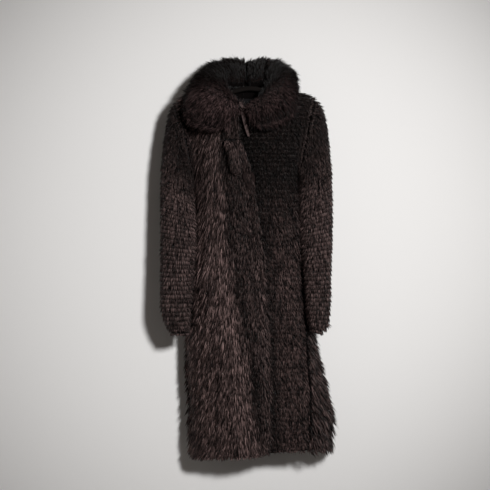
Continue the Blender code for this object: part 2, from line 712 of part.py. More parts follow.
def build_collar(name, table, line, up, reach, rise, material):
    turn = np.arange(COLLAR_ROUND) * 2 * math.pi / COLLAR_ROUND
    share = (1 - np.cos(turn)) / 2
    free = np.where(np.sin(turn) < 0, eased(0, 0.05, share), eased(0.3, 0.5, share))
    pile = PILE + rise + COLLAR_CLEAR
    sections = [collar_half(table, line, up, at, reach) for at in np.linspace(0, 1, COLLAR_STATIONS)]
    sections = [rested(section, pile, free) for section in sections]
    sections[0] = sections[0] + unit(sections[1].mean(0) - sections[0].mean(0)) * SEAM / 2
    last = sections[-1]
    onward = unit(last.mean(0) - sections[-2].mean(0))
    for size, step in COLLAR_END:
        sections.append(last.mean(0) + (last - last.mean(0)) * size + onward * step)
    stops = (0, *COLLAR_CUTS, len(sections) - 1)
    for part, start, stop in zip(COLLAR_PARTS, stops, stops[1:]):
        rings = sections[start : stop + 1]
        if start:
            middle = rings[0].mean(0)
            onward = unit(rings[1] - rings[0]) * SEAM * CUT_SEAMS
            rings[0] = middle + (rings[0] - middle) * CUT_TUCK + onward
        bm = bmesh.new()
        grid = vert_grid(bm, rings)
        quads(bm, grid, closed=True)
        for ring in (grid[0], grid[-1]):
            cap(bm, ring)
        finish(f"{name}_{part}", bm, material)


# Small pieces on the fronts


def front_face(x, z, lapped):
    """How far forward the pile of a front reaches at a place."""
    shoulder = SHOULDER_NECK - SHOULDER_SLOPE * abs(x - read(BODY, "centre", -0.1))
    roll = math.degrees(math.asin(min(max((z - CHEST) / (shoulder - CHEST), 0.0), 1.0)))
    turn = turn_at(x, z, True)
    point = body_point(np.array([turn]), np.array([roll]), np.array([min(z, CHEST)]))[0]
    normal = body_normal(np.array([turn]), np.array([roll]), np.array([min(z, CHEST)]))[0]
    rise = PILE + fold("front", np.array([x]), np.array([z]))[0] + (LAP_RISE if lapped else 0)
    return point[1] - rise / max(-normal[1], 0.5)


def build_tab(name, material):
    sections = []
    heights = np.linspace(column(THROAT_TAB, "z")[0], column(THROAT_TAB, "z")[-1], 9)
    turn = np.arange(TAB_ROUND) * 2 * math.pi / TAB_ROUND
    for z in heights:
        x = read(THROAT_TAB, "x", z)
        thick = read(THROAT_TAB, "half_thick", z)
        y = front_face(x, z, True) - thick - TAB_CLEAR
        across = read(THROAT_TAB, "half_width", z) * np.cos(turn)
        sections.append(np.stack([x + across, y + thick * np.sin(turn), np.full_like(turn, z)], -1))
    bm = bmesh.new()
    grid = vert_grid(bm, sections)
    quads(bm, grid, closed=True)
    bm.faces.new(grid[0])
    bm.faces.new(grid[-1])
    bmesh.ops.triangulate(bm, faces=[face for face in bm.faces if len(face.verts) > 4])
    finish(name, bm, material)


def build_facing(name, table, lapped, clear, material):
    """A thin strip that follows the front, just off it."""
    heights = np.linspace(column(table, "z")[0], column(table, "z")[-1], 9)
    grids = []
    for thick in (FACING_THICK, 0.0):
        lines = []
        for z in heights:
            x = read(table, "x", z)
            half = read(table, "half_width", z)
            xs = np.linspace(x - half, x + half, 4)
            lines.append([(x, front_face(x, z, lapped) - clear - thick, z) for x in xs])
        grids.append(np.array(lines))
    build_panel(name, grids, material)


def build_label(name, material):
    x, z = LABEL_CENTRE
    half = LABEL_SIZE[2] / 2
    points = [back_skin(x, height) for height in (z - half, z + half)]
    middle = (points[0] + points[1]) / 2
    lean = math.atan2(points[1][1] - points[0][1], LABEL_SIZE[2])
    bm = bmesh.new()
    bmesh.ops.create_cube(bm, size=1)
    bmesh.ops.scale(bm, vec=LABEL_SIZE, verts=bm.verts)
    piece = finish(name, bm, material)
    piece.location = (x, middle[1] - LABEL_CLEAR, z)
    piece.rotation_euler = (-lean, 0, 0)  # the top leans forward


def back_skin(x, z):
    shoulder = SHOULDER_NECK - SHOULDER_SLOPE * abs(x - read(BODY, "centre", -0.1))
    roll = math.degrees(math.asin((z - CHEST) / (shoulder - CHEST)))
    turn = turn_at(x, z, False)
    return body_point(np.array([turn]), np.array([roll]), np.array([CHEST]))[0]


# The hanger


def wire(name, points, radius, material):
    curve = bpy.data.curves.new(name, "CURVE")
    curve.dimensions = "3D"
    spline = curve.splines.new("POLY")
    spline.points.add(len(points) - 1)
    for point, place_at in zip(spline.points, points):
        point.co = (*place_at, 1)
    curve.bevel_depth = radius
    curve.bevel_resolution = 2
    curve.use_fill_caps = True
    piece = bpy.data.objects.new(name, curve)
    curve.materials.append(material)
    bpy.data.collections[COLLECTION].objects.link(piece)
    return piece


def hanger_height(x):
    return SHOULDER_NECK - SHOULDER_SLOPE * math.hypot(x, HANGER_NECK) - HANGER_SAG


def build_hanger(wood, steel):
    across = np.linspace(-HANGER_REACH, HANGER_REACH, 21)
    wire("hanger_arms", [(x, 0, hanger_height(x)) for x in across], HANGER_ARM_RADIUS, wood)
    foot = hanger_height(0) + HANGER_ARM_RADIUS + SEAM
    radius = HOOK_INNER + HOOK_WIRE
    turns = np.radians(np.linspace(*HOOK_TURN, 17))
    bend = [(radius * math.cos(turn), 0, radius * math.sin(turn) - HOOK_INNER) for turn in turns]
    wire("hanger_hook", [(0, 0, foot)] + bend, HOOK_WIRE, steel)


def material(name, colour, roughness, metallic=0.0):
    made = bpy.data.materials.new(name)
    made.use_nodes = True
    shader = made.node_tree.nodes["Principled BSDF"]
    shader.inputs["Base Color"].default_value = (*colour, 1)
    shader.inputs["Roughness"].default_value = roughness
    shader.inputs["Metallic"].default_value = metallic
    return made


def main():
    for old in list(bpy.data.objects):
        bpy.data.objects.remove(old)
    collection = bpy.data.collections.new(COLLECTION)
    bpy.context.scene.collection.children.link(collection)

    walls = {panel: panel_wall(panel) for panel in ("back", "front_right", "front_left")}
    shades = {
        "back": (0.030, 0.021, 0.019),
        "front_right": (0.034, 0.024, 0.022),
        "front_left": (0.024, 0.016, 0.014),
    }
    for panel, wall in walls.items():
        build_panel(panel, wall, material(panel + "_fur", shades[panel], 0.8))
    back = walls["back"]
    right, left = walls["front_right"], walls["front_left"]
    sleeve_shade = (0.032, 0.023, 0.021)
    for name, table, front, viewer_right in (
        ("sleeve_right", RIGHT_SLEEVE, right, False),
        ("sleeve_left", LEFT_SLEEVE, left, True),
    ):
        build_sleeve(name, table, front, back, viewer_right, material(name + "_fur", sleeve_shade, 0.8))

    collar_shade = (0.018, 0.013, 0.013)
    for name, table, front, viewer_right, reach, rise in (
        ("collar_right", COLLAR_RIGHT, right, False, 1.0, LAP_RISE),
        ("collar_left", COLLAR_LEFT, left, True, LEFT_COLLAR_REACH, 0.0),
    ):
        line, up = neck_line(front, back, viewer_right)
        build_collar(name, table, line, up, reach, rise, material(name + "_fur", collar_shade, 0.85))

    build_tab("throat_tab", material("throat_tab_fur", (0.036, 0.027, 0.025), 0.8))
    facing_shade = (0.040, 0.030, 0.030)
    for name, table, clear in (
        ("neck_facing", NECK_FACING, NECK_FACING_CLEAR),
        ("front_facing", FRONT_FACING, FACING_CLEAR),
    ):
        build_facing(name, table, True, clear, material(name + "_suede", facing_shade, 0.6))
    build_label("label", material("label_cloth", (0.012, 0.011, 0.011), 0.5))
    wood = material("hanger_wood", (0.03, 0.02, 0.015), 0.5)
    steel = material("hanger_steel", (0.05, 0.05, 0.05), 0.3, 1.0)
    build_hanger(wood, steel)


main()
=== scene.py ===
import math

import bmesh
import bpy
import numpy as np
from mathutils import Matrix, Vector
from mathutils.bvhtree import BVHTree


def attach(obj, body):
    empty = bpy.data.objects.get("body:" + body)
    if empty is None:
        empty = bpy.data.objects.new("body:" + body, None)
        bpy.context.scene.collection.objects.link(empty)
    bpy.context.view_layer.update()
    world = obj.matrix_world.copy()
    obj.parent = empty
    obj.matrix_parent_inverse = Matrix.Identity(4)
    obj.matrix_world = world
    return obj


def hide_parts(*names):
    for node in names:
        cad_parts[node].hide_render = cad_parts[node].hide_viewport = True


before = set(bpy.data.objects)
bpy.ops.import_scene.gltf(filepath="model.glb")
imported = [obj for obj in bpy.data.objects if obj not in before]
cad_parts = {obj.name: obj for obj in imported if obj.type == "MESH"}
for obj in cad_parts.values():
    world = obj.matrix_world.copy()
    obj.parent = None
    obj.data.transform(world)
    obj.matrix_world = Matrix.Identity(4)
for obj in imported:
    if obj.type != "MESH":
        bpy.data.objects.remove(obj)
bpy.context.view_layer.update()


# The skins of the body: a back and two fronts, cut from dressed hides and sewn edge to edge. The fur is
# worn outside, so each skin lies on the inside of its CAD wall, and the pile fills the rest of it.
SKIN_SHARE = 0.30  # of the CAD wall, which is skin and pile together
SKIN_BROWN = (0.0016, 0.0010, 0.0010, 1)
SLEEVE_SKIN_SHARE = 0.35
HOLLOW_TOP = -0.30  # the shoulders roll over from here
HOLLOW_SHARE = 0.6  # of the body's width, where its inside's middle line runs
BODY_MIDDLE = -0.0105
OUTWARD_LEAST = 0.15  # how far from edge-on a face of the outer side looks
JOIN_WITHIN = 0.00001


def joined_copy(*nodes):
    """A copy of the CAD nodes' meshes in one, with its corners joined."""
    bm = bmesh.new()
    for node in nodes:
        bm.from_mesh(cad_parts[node].data)
    bmesh.ops.remove_doubles(bm, verts=bm.verts, dist=JOIN_WITHIN)
    mesh = bpy.data.meshes.new(nodes[0])
    bm.to_mesh(mesh)
    bm.free()
    return mesh


def read(parts, field):
    """A vector of each vertex or face of a mesh, such as its place or normal."""
    values = np.empty(len(parts) * 3)
    parts.foreach_get(field, values)
    return values.reshape(-1, 3)


def unit(vectors):
    return vectors / np.maximum(np.linalg.norm(vectors, axis=-1, keepdims=True), 1e-9)


def body_hollow(points):
    """The middle of the coat's inside, level with each point."""
    across = BODY_MIDDLE + (points[:, 0] - BODY_MIDDLE) * HOLLOW_SHARE
    return np.stack([across, np.zeros(len(points)), np.minimum(points[:, 2], HOLLOW_TOP)], -1)


def outward_faces(mesh, hollow):
    """True for each face that looks away from the hollow."""
    centres = read(mesh.polygons, "center")
    normals = read(mesh.polygons, "normal")
    return np.sum(normals * unit(centres - hollow(centres)), -1) > OUTWARD_LEAST


def thinned(mesh, outward, share):
    """Moves the outer side of a wall in, to a share of the wall's thickness."""
    points = read(mesh.vertices, "co")
    corners = [tuple(polygon.vertices) for polygon in mesh.polygons]
    inner = [corner for corner, out in zip(corners, outward) if not out]
    tree = BVHTree.FromPolygons([Vector(point) for point in points], inner)
    outer = {vertex for corner, out in zip(corners, outward) if out for vertex in corner}
    for vertex in outer:
        near = tree.find_nearest(Vector(points[vertex]))[0]
        points[vertex] = np.array(near) * (1 - share) + points[vertex] * share
    mesh.vertices.foreach_set("co", points.ravel())
    mesh.update()


def placed(name, mesh, material, nodes=()):
    """A finished piece: smooth, on its body, and standing for its CAD nodes."""
    piece = bpy.data.objects.new(name, mesh)
    bpy.context.scene.collection.objects.link(piece)
    mesh.materials.clear()
    mesh.materials.append(material)
    mesh.shade_smooth()
    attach(piece, "root")
    if nodes:
        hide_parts(*nodes)
    return piece


def shader(name, colour, roughness, gloss=0.5):
    """A Principled material, and its shader node."""
    made = bpy.data.materials.new(name)
    made.use_nodes = True
    principled = made.node_tree.nodes["Principled BSDF"]
    principled.inputs["Base Color"].default_value = colour
    principled.inputs["Roughness"].default_value = roughness
    principled.inputs["Specular IOR Level"].default_value = gloss
    return made, principled


def effect_group(name, inputs, outputs):
    """A shader node group with named sockets, with its input's and its output's nodes."""
    group = bpy.data.node_groups.new(name, "ShaderNodeTree")
    for sockets, way in ((inputs, "INPUT"), (outputs, "OUTPUT")):
        for label, kind in sockets:
            group.interface.new_socket(label, in_out=way, socket_type="NodeSocket" + kind)
    return group, group.nodes.new("NodeGroupInput").outputs, group.nodes.new("NodeGroupOutput").inputs


def noise(tree, scale, detail, source):
    node = tree.nodes.new("ShaderNodeTexNoise")
    node.inputs["Scale"].default_value = scale
    node.inputs["Detail"].default_value = detail
    tree.links.new(source, node.inputs["Vector"])
    return node.outputs["Fac"]


def ranged(tree, value, low, high, first=0.0, last=1.0):
    """A value from between two limits, spread over two others."""
    node = tree.nodes.new("ShaderNodeMapRange")
    for label, number in (("From Min", low), ("From Max", high), ("To Min", first), ("To Max", last)):
        node.inputs[label].default_value = number
    tree.links.new(value, node.inputs["Value"])
    return node.outputs[0]


def scaled(tree, colour, share):
    node = tree.nodes.new("ShaderNodeVectorMath")
    node.operation = "SCALE"
    tree.links.new(colour, node.inputs[0])
    tree.links.new(share, node.inputs["Scale"])
    return node.outputs[0]


def bumped(tree, principled, height, strength, distance):
    bump = tree.nodes.new("ShaderNodeBump")
    bump.inputs["Strength"].default_value = strength
    bump.inputs["Distance"].default_value = distance
    tree.links.new(height, bump.inputs["Height"])
    tree.links.new(bump.outputs["Normal"], principled.inputs["Normal"])


NAP_BLOTCHES, NAP_GRAIN = 160, 900  # to a metre
NAP_TONES = (0.6, 1.6)  # of the hide's colour


def nap_group():
    """A fine uneven nap: blotches in the colour, and a grain to bump."""
    group, given, made = effect_group("nap", [("Color", "Color")], [("Color", "Color"), ("Height", "Float")])
    place = group.nodes.new("ShaderNodeTexCoord").outputs["Object"]
    blotches = ranged(group, noise(group, NAP_BLOTCHES, 3.0, place), 0, 1, *NAP_TONES)
    group.links.new(scaled(group, given["Color"], blotches), made["Color"])
    group.links.new(noise(group, NAP_GRAIN, 3.0, place), made["Height"])
    return group


nap = nap_group()


def skin_material(name, colour):
    """Dressed hide or close cloth: matt, with a nap."""
    made, principled = shader(name, colour, 0.9, gloss=0.05)
    tree = made.node_tree
    worn = tree.nodes.new("ShaderNodeGroup")
    worn.node_tree = nap
    worn.inputs["Color"].default_value = colour
    tree.links.new(worn.outputs["Color"], principled.inputs["Base Color"])
    bumped(tree, principled, worn.outputs["Height"], 0.4, 0.001)
    return made


underfur = skin_material("underfur", SKIN_BROWN)


# The pile itself: tapered locks of hair that grow from the skin and lie down along it. Each lock is a
# ridged spindle, thickest near its root. They come from one Geometry Nodes tree, which scatters their
# roots, draws neighbours together into tufts, and on the sleeves gathers them into rows.
LOCK_POINTS = (  # across the lock, out from the skin, and along the lock
    (0.0, -0.02, 0.0),
    (-0.5, 0.12, 0.36),
    (0.5, 0.12, 0.36),
    (0.0, 0.42, 0.33),
    (0.0, 0.0, 1.0),
)
LOCK_FACES = ((0, 3, 1), (0, 2, 3), (1, 3, 4), (3, 2, 4), (0, 1, 2), (1, 4, 2))
PILE_SIZES = ("Density", "Width", "Length spread", "Lift", "Scatter", "Tuft size", "Tuft pull", "Row pull")
OWN_TONE = 0.8  # of a lock's tone; the rest is its tuft's

lock_mesh = bpy.data.meshes.new("lock")
lock_mesh.from_pydata(LOCK_POINTS, [], LOCK_FACES)
for field, axis in (("tip", 2), ("side", 0)):
    layer = lock_mesh.attributes.new(field, "FLOAT", "POINT")
    layer.data.foreach_set("value", [point[axis] for point in LOCK_POINTS])
lock_mesh.shade_smooth()
lock = bpy.data.objects.new("lock", lock_mesh)


def pile_tree(material):
    """Scatters locks over a skin. Its inputs are named for what they do to the fur."""
    tree = bpy.data.node_groups.new("pile", "GeometryNodeTree")
    face = tree.interface
    face.new_socket("Geometry", in_out="INPUT", socket_type="NodeSocketGeometry")
    for name in PILE_SIZES:
        face.new_socket(name, in_out="INPUT", socket_type="NodeSocketFloat")
    face.new_socket("Seed", in_out="INPUT", socket_type="NodeSocketInt")
    face.new_socket("Geometry", in_out="OUTPUT", socket_type="NodeSocketGeometry")
    add, link = tree.nodes.new, tree.links.new
    given = add("NodeGroupInput").outputs

    def put(socket, value):
        if isinstance(value, bpy.types.NodeSocket):
            link(value, socket)
        else:
            socket.default_value = value

    def maths(operation, *values):
        node = add("ShaderNodeMath")
        node.operation = operation
        for socket, value in zip(node.inputs, values):
            put(socket, value)
        return node.outputs[0]

    def vector(operation, *values, scale=None):
        node = add("ShaderNodeVectorMath")
        node.operation = operation
        for socket, value in zip(node.inputs, values):
            put(socket, value)
        if scale is not None:
            put(node.inputs["Scale"], scale)
        return node.outputs[0]

    def attribute(name, kind):
        node = add("GeometryNodeInputNamedAttribute")
        node.data_type = kind
        node.inputs["Name"].default_value = name
        return node.outputs["Attribute"]

    def chance(low, high, step):
        node = add("FunctionNodeRandomValue")
        node.data_type = "FLOAT"
        put(node.inputs[2], low)
        put(node.inputs[3], high)
        link(maths("ADD", given["Seed"], float(step)), node.inputs["Seed"])
        return node.outputs[1]

    def stored(geometry, name, value):
        node = add("GeometryNodeStoreNamedAttribute")
        node.data_type = "FLOAT"
        node.domain = "POINT"
        node.inputs["Name"].default_value = name
        link(geometry, node.inputs["Geometry"])
        link(value, node.inputs["Value"])
        return node.outputs["Geometry"]

    def turned(rotation, axis, pivot, towards):
        node = add("FunctionNodeAlignRotationToVector")
        node.axis = axis
        node.pivot_axis = pivot
        if rotation is not None:
            link(rotation, node.inputs["Rotation"])
        link(towards, node.inputs["Vector"])
        return node.outputs["Rotation"]

    scatter = add("GeometryNodeDistributePointsOnFaces")
    link(given["Geometry"], scatter.inputs["Mesh"])
    link(given["Density"], scatter.inputs["Density"])
    link(given["Seed"], scatter.inputs["Seed"])
    flow = attribute("flow", "FLOAT_VECTOR")
    length = attribute("reach", "FLOAT")

    rows = maths("FRACT", attribute("row", "FLOAT"))
    back = maths("MULTIPLY", maths("MULTIPLY", rows, given["Row pull"]), attribute("pitch", "FLOAT"))
    move = add("GeometryNodeSetPosition")
    link(scatter.outputs["Points"], move.inputs["Geometry"])
    link(vector("SCALE", flow, scale=maths("MULTIPLY", back, -1.0)), move.inputs["Offset"])
    out = add("GeometryNodeStoreNamedAttribute")
    out.data_type = "FLOAT_VECTOR"
    out.domain = "POINT"
    out.inputs["Name"].default_value = "out"
    link(move.outputs["Geometry"], out.inputs["Geometry"])
    link(scatter.outputs["Normal"], out.inputs["Value"])

    here = add("GeometryNodeInputPosition").outputs[0]
    tufts = add("ShaderNodeTexVoronoi")
    link(here, tufts.inputs["Vector"])
    link(maths("DIVIDE", 1.0, given["Tuft size"]), tufts.inputs["Scale"])
    gather = vector("SUBTRACT", tufts.outputs["Position"], here)
    gather = vector("SCALE", gather, scale=maths("DIVIDE", given["Tuft pull"], length))
    normal = attribute("out", "FLOAT_VECTOR")
    lift = maths("MULTIPLY", given["Lift"], chance(0.55, 1.45, 1))
    lift = maths("MULTIPLY", lift, attribute("rise", "FLOAT"))
    aim = vector("ADD", flow, vector("SCALE", normal, scale=lift))
    aim = vector("ADD", aim, gather)
    aside = vector("CROSS_PRODUCT", flow, normal)
    stray = maths("MULTIPLY", given["Scatter"], chance(-1.0, 1.0, 2))
    aim = vector("ADD", aim, vector("SCALE", aside, scale=stray))
    rotation = turned(None, "Z", "AUTO", vector("NORMALIZE", aim))
    lean = vector("ADD", normal, vector("SCALE", aside, scale=chance(-0.7, 0.7, 3)))
    rotation = turned(rotation, "Y", "Z", lean)

    spread = maths("MULTIPLY", given["Length spread"], chance(-1.0, 1.0, 4))
    long = maths("MULTIPLY", length, maths("ADD", 1.0, spread))
    wide = maths("MULTIPLY", given["Width"], chance(0.7, 1.3, 5))
    size = add("ShaderNodeCombineXYZ")
    link(wide, size.inputs["X"])
    link(wide, size.inputs["Y"])
    link(long, size.inputs["Z"])
    own_tone = maths("MULTIPLY", chance(0.0, 1.0, 6), OWN_TONE)
    tone = maths("ADD", own_tone, maths("MULTIPLY", tufts.outputs["Color"], 1 - OWN_TONE))
    points = stored(out.outputs["Geometry"], "tone", tone)

    shape = add("GeometryNodeObjectInfo")
    shape.inputs["Object"].default_value = lock
    copies = add("GeometryNodeInstanceOnPoints")
    link(points, copies.inputs["Points"])
    link(shape.outputs["Geometry"], copies.inputs["Instance"])
    link(rotation, copies.inputs["Rotation"])
    link(size.outputs[0], copies.inputs["Scale"])
    real = add("GeometryNodeRealizeInstances")
    link(copies.outputs[0], real.inputs[0])
    coloured = add("GeometryNodeSetMaterial")
    coloured.inputs["Material"].default_value = material
    link(real.outputs[0], coloured.inputs["Geometry"])
    link(coloured.outputs[0], add("NodeGroupOutput").inputs[0])
    return tree


HAIR_SHARE, PATCH_SHARE = 0.5, 0.3  # what fine hairs and wide patches add to a lock's tone
TONE_LIMITS = (0.55, 1.45)
LIGHT_RARITY = 1.8  # a power: the higher, the fewer light locks
ROOT_TO_TIP = (0.15, 0.85)  # along the lock, from the root's colour to the tip's
ROOT_DARKNESS = 0.35


def fur_colour_group():
    """The colour of a lock: darker at its root, and a tone of its own, with fine hairs along it, scaled by
    the light and shade painted on its bed.
    """
    sockets = [(name, "Color") for name in ("Root", "Dark", "Light")]
    group, given, made = effect_group("fur_colour", sockets, [("Color", "Color")])
    add, link = group.nodes.new, group.links.new

    def attribute(name):
        node = add("ShaderNodeAttribute")
        node.attribute_name = name
        return node.outputs["Fac"]

    def blend(amount, first, second):
        node = add("ShaderNodeMix")
        node.data_type = "RGBA"
        link(amount, node.inputs[0])
        link(first, node.inputs[6])
        link(second, node.inputs[7])
        return node.outputs[2]

    def with_share(base, value, share):
        node = add("ShaderNodeMath")
        node.operation = "MULTIPLY_ADD"
        link(value, node.inputs[0])
        node.inputs[1].default_value = share
        link(base, node.inputs[2])
        return node.outputs[0]

    strand = add("ShaderNodeCombineXYZ")
    link(attribute("side"), strand.inputs["X"])
    link(attribute("tone"), strand.inputs["Y"])
    hairs = noise(group, 9.0, 2.0, strand.outputs[0])
    patches = noise(group, 14.0, 2.0, add("ShaderNodeTexCoord").outputs["Object"])
    tone = with_share(with_share(attribute("tone"), hairs, HAIR_SHARE), patches, PATCH_SHARE)
    rare = add("ShaderNodeMath")
    rare.operation = "POWER"
    link(ranged(group, tone, *TONE_LIMITS), rare.inputs[0])
    rare.inputs[1].default_value = LIGHT_RARITY
    body = blend(rare.outputs[0], given["Dark"], given["Light"])
    whole = blend(ranged(group, attribute("tip"), *ROOT_TO_TIP), given["Root"], body)
    # Painted light and shade: each lock's colour is scaled by the shade of the bed it grows from.
    link(scaled(group, whole, attribute("shade")), made["Color"])
    return group


fur_colour = fur_colour_group()


def fur_material(name, dark, light, gloss=0.22, tint=(1.0, 0.84, 0.80)):
    """Glossy guard hair over a dull root."""
    made, principled = shader(name, (*dark, 1), 0.42, gloss)
    principled.inputs["Sheen Weight"].default_value = 0.03
    principled.inputs["Sheen Roughness"].default_value = 0.4
    principled.inputs["Specular Tint"].default_value = (*tint, 1)
    tree = made.node_tree
    colour = tree.nodes.new("ShaderNodeGroup")
    colour.node_tree = fur_colour
    colour.inputs["Root"].default_value = [part * ROOT_DARKNESS for part in dark] + [1]
    colour.inputs["Dark"].default_value = (*dark, 1)
    colour.inputs["Light"].default_value = (*light, 1)
    tree.links.new(colour.outputs["Color"], principled.inputs["Base Color"])
    return made


ROW_PITCH = 0.013


def with_fields(bed, flow, reach, shade, row=0.0, pitch=ROW_PITCH, rise=1.0):
    """Writes what steers the fur on the points of its bed, with the light and shade painted into its colour.
    """
    fields = {"flow": flow, "reach": reach, "shade": shade, "row": row, "pitch": pitch, "rise": rise}
    for name, values in fields.items():
        wide = np.ndim(values) == 2
        layer = bed.attributes.new(name, "FLOAT_VECTOR" if wide else "FLOAT", "POINT")
        filled = values if wide else np.zeros(len(bed.vertices)) + values
        layer.data.foreach_set("vector" if wide else "value", np.ascontiguousarray(filled).ravel())


def only_faces(mesh, keep):
    """A copy of the mesh with some of its faces."""
    points = read(mesh.vertices, "co")
    faces = [tuple(polygon.vertices) for polygon, kept in zip(mesh.polygons, keep) if kept]
    used = sorted({vertex for face in faces for vertex in face})
    at = {vertex: place for place, vertex in enumerate(used)}
    made = bpy.data.meshes.new("bed")
    made.from_pydata(points[used], [], [tuple(at[vertex] for vertex in face) for face in faces])
    made.shade_smooth()
    return made


def along_skin(directions, normals):
    """Directions laid down on the skin."""
    return unit(directions - normals * np.sum(directions * normals, -1, keepdims=True))


PRESS_BACK = (0.078, 0.016)  # the wall flattens the fur from here, within this much
PRESS_FRONT = (-0.142, 0.014)


def pressed(depths, press, way):
    """Fur past a plane is pushed together instead of reaching on."""
    start, room = press
    past = np.maximum((depths - start) * way, 0)
    return np.where(past > 0, start + way * room * (1 - np.exp(-past / room)), depths)


def grow(name, bed, material, seed, sizes):
    """Runs the tree over a bed, and keeps the result as one plain mesh."""
    base = bpy.data.objects.new(name, bed)
    bpy.context.scene.collection.objects.link(base)
    modifier = base.modifiers.new("pile", "NODES")
    tree = pile_tree(material)
    modifier.node_group = tree
    values = dict(zip(PILE_SIZES, map(float, sizes)), Seed=seed)
    for item in tree.interface.items_tree:
        if item.in_out == "INPUT" and item.name in values:
            modifier[item.identifier] = values[item.name]
    bpy.context.view_layer.update()
    graph = bpy.context.evaluated_depsgraph_get()
    made = bpy.data.meshes.new_from_object(base.evaluated_get(graph))
    bpy.data.objects.remove(base)
    points = read(made.vertices, "co")
    points[:, 1] = pressed(points[:, 1], PRESS_BACK, 1)
    points[:, 1] = pressed(points[:, 1], PRESS_FRONT, -1)
    made.vertices.foreach_set("co", points.ravel())
    return placed(name, made, material)


ROLL_FROM, ROLL_OVER = -0.30, 0.2  # above here the fur turns off the shoulders, over this height
HALF_CHEST = 0.18
OFF_SIDE, OFF_SHOULDER = 0.8, 0.5
PANEL_HEM = -1.18
HEM_FADE, HEM_LEAST = 0.030, 0.35  # the locks shorten to this share at the hem


def bed_points(bed):
    return read(bed.vertices, "co"), read(bed.vertices, "normal")


def panel_fields(bed, reach, sweep, shade):
    """Fur on a panel runs down it, off the shoulders and a little to each side."""
    points, normals = bed_points(bed)
    high = np.clip((points[:, 2] - ROLL_FROM) / ROLL_OVER, 0, 1)
    side = np.clip((points[:, 0] - BODY_MIDDLE) / HALF_CHEST, -1, 1)
    across = sweep(points) + side * high * OFF_SIDE
    off = np.sign(points[:, 1]) * high * OFF_SHOULDER
    near_hem = np.clip((points[:, 2] - PANEL_HEM) / HEM_FADE, HEM_LEAST, 1)
    with_fields(
        bed,
        flow=along_skin(np.stack([across, off, -np.ones(len(points))], -1), normals),
        reach=reach(points) * near_hem,
        shade=shade(points),
        row=-points[:, 2] / ROW_PITCH,
    )


def beside(points, line, wide):
    """0 left of a line down the front, and 1 once a width to its right."""
    at = np.interp(-points[:, 2], [-z for z, _ in line], [x for _, x in line])
    return np.clip((points[:, 0] - at) / wide, 0, 1)


def faded(heights, high, low, least):
    """1 under the low height, and down to the least over the high one."""
    return least + (1 - least) * np.clip((high - heights) / (high - low), 0, 1)


def body_panel(node, sweep, reach, shade, fur, seed, sizes):
    """One panel's skin, as a sheet, and the pile on it."""
    mesh = joined_copy(node)
    outward = outward_faces(mesh, body_hollow)
    thinned(mesh, outward, SKIN_SHARE)
    bed = only_faces(mesh, outward)
    panel_fields(bed, reach, sweep, shade)
    skin = placed(node + "_skin", mesh, underfur, [node])
    pile = grow(node + "_pile", bed, fur, seed, sizes)


BROWN_DARK = (0.006, 0.0036, 0.0035)
BROWN_LIGHT = (0.34, 0.226, 0.212)
long_fur = fur_material("long_fur", BROWN_DARK, BROWN_LIGHT)
short_fur = fur_material("short_fur", (0.003, 0.0018, 0.0018), (0.28, 0.180, 0.168))

# The right front has a soft fold down it, and between the fold and its edge the pile is short and dark,
# partly its own colour and partly painted shade.
# Each line is given by its heights and how far across it is there.
FOLD_LINE = ((-0.267, -0.088), (-0.567, -0.062), (-0.807, -0.024), (-1.077, 0.020), (-1.180, 0.036))
EDGE_LINE = (
    (-0.180, -0.020), (-0.297, -0.004), (-0.567, 0.034), (-0.807, 0.052), (-1.077, 0.060), (-1.180, 0.054)
)
FOLD_STEP = 0.012
BEFORE_FOLD = 2.1  # how light the fur is painted, as light and shade: over the fold, in its hollow, and more of it beyond
IN_FOLD, BEYOND_FOLD, FOLD_RISE = 0.18, 0.60, 0.040
RIM_LIGHT, RIM_INNER, RIM_OUTER = 0.8, -0.024, -0.012  # a painted highlight: a paler rim inside the front edge
GAP_MIDDLE, GAP_SIZE, GAP_SHADOW = (0.009, -0.985), (0.011, 0.075), 0.85  # a painted shadow in the fold's open foot
CHEST_TOP, CHEST_FOOT, CHEST_LIGHT = -0.30, -0.55, 0.55  # painted shade: under the collar the fur is darker
# Painted shade on the left front: darker at its top, and a painted shadow under the right front's edge.
LEFT_TOP, LEFT_FOOT, LEFT_LIGHT = -0.34, -0.60, 0.10
UNDER_EDGE, BEYOND_EDGE, EDGE_RISE = 0.05, 1.1, 0.045


# Painted light and shade on the right front's fur: lit over the fold, shaded in and beyond it, a painted
# highlight on its rim and a painted shadow at the fold's foot.
def right_shade(points):
    painted_rim_highlight = beside(points, EDGE_LINE, RIM_OUTER) * (1 - beside(points, EDGE_LINE, RIM_INNER))
    across, up = ((points[:, axis] - GAP_MIDDLE[k]) / GAP_SIZE[k] for k, axis in enumerate((0, 2)))
    gap_shadow = GAP_SHADOW * np.exp(-(across**2) - up**2)
    beyond = IN_FOLD + BEYOND_FOLD * beside(points, FOLD_LINE, FOLD_RISE) + RIM_LIGHT * painted_rim_highlight
    painted_shading = np.where(beside(points, FOLD_LINE, FOLD_STEP) > 0, beyond, BEFORE_FOLD)
    return faded(points[:, 2], CHEST_TOP, CHEST_FOOT, CHEST_LIGHT) * painted_shading * (1 - gap_shadow)


def left_shade(points):
    lit = faded(points[:, 2], LEFT_TOP, LEFT_FOOT, LEFT_LIGHT)
    return lit * (UNDER_EDGE + BEYOND_EDGE * beside(points, EDGE_LINE, EDGE_RISE))
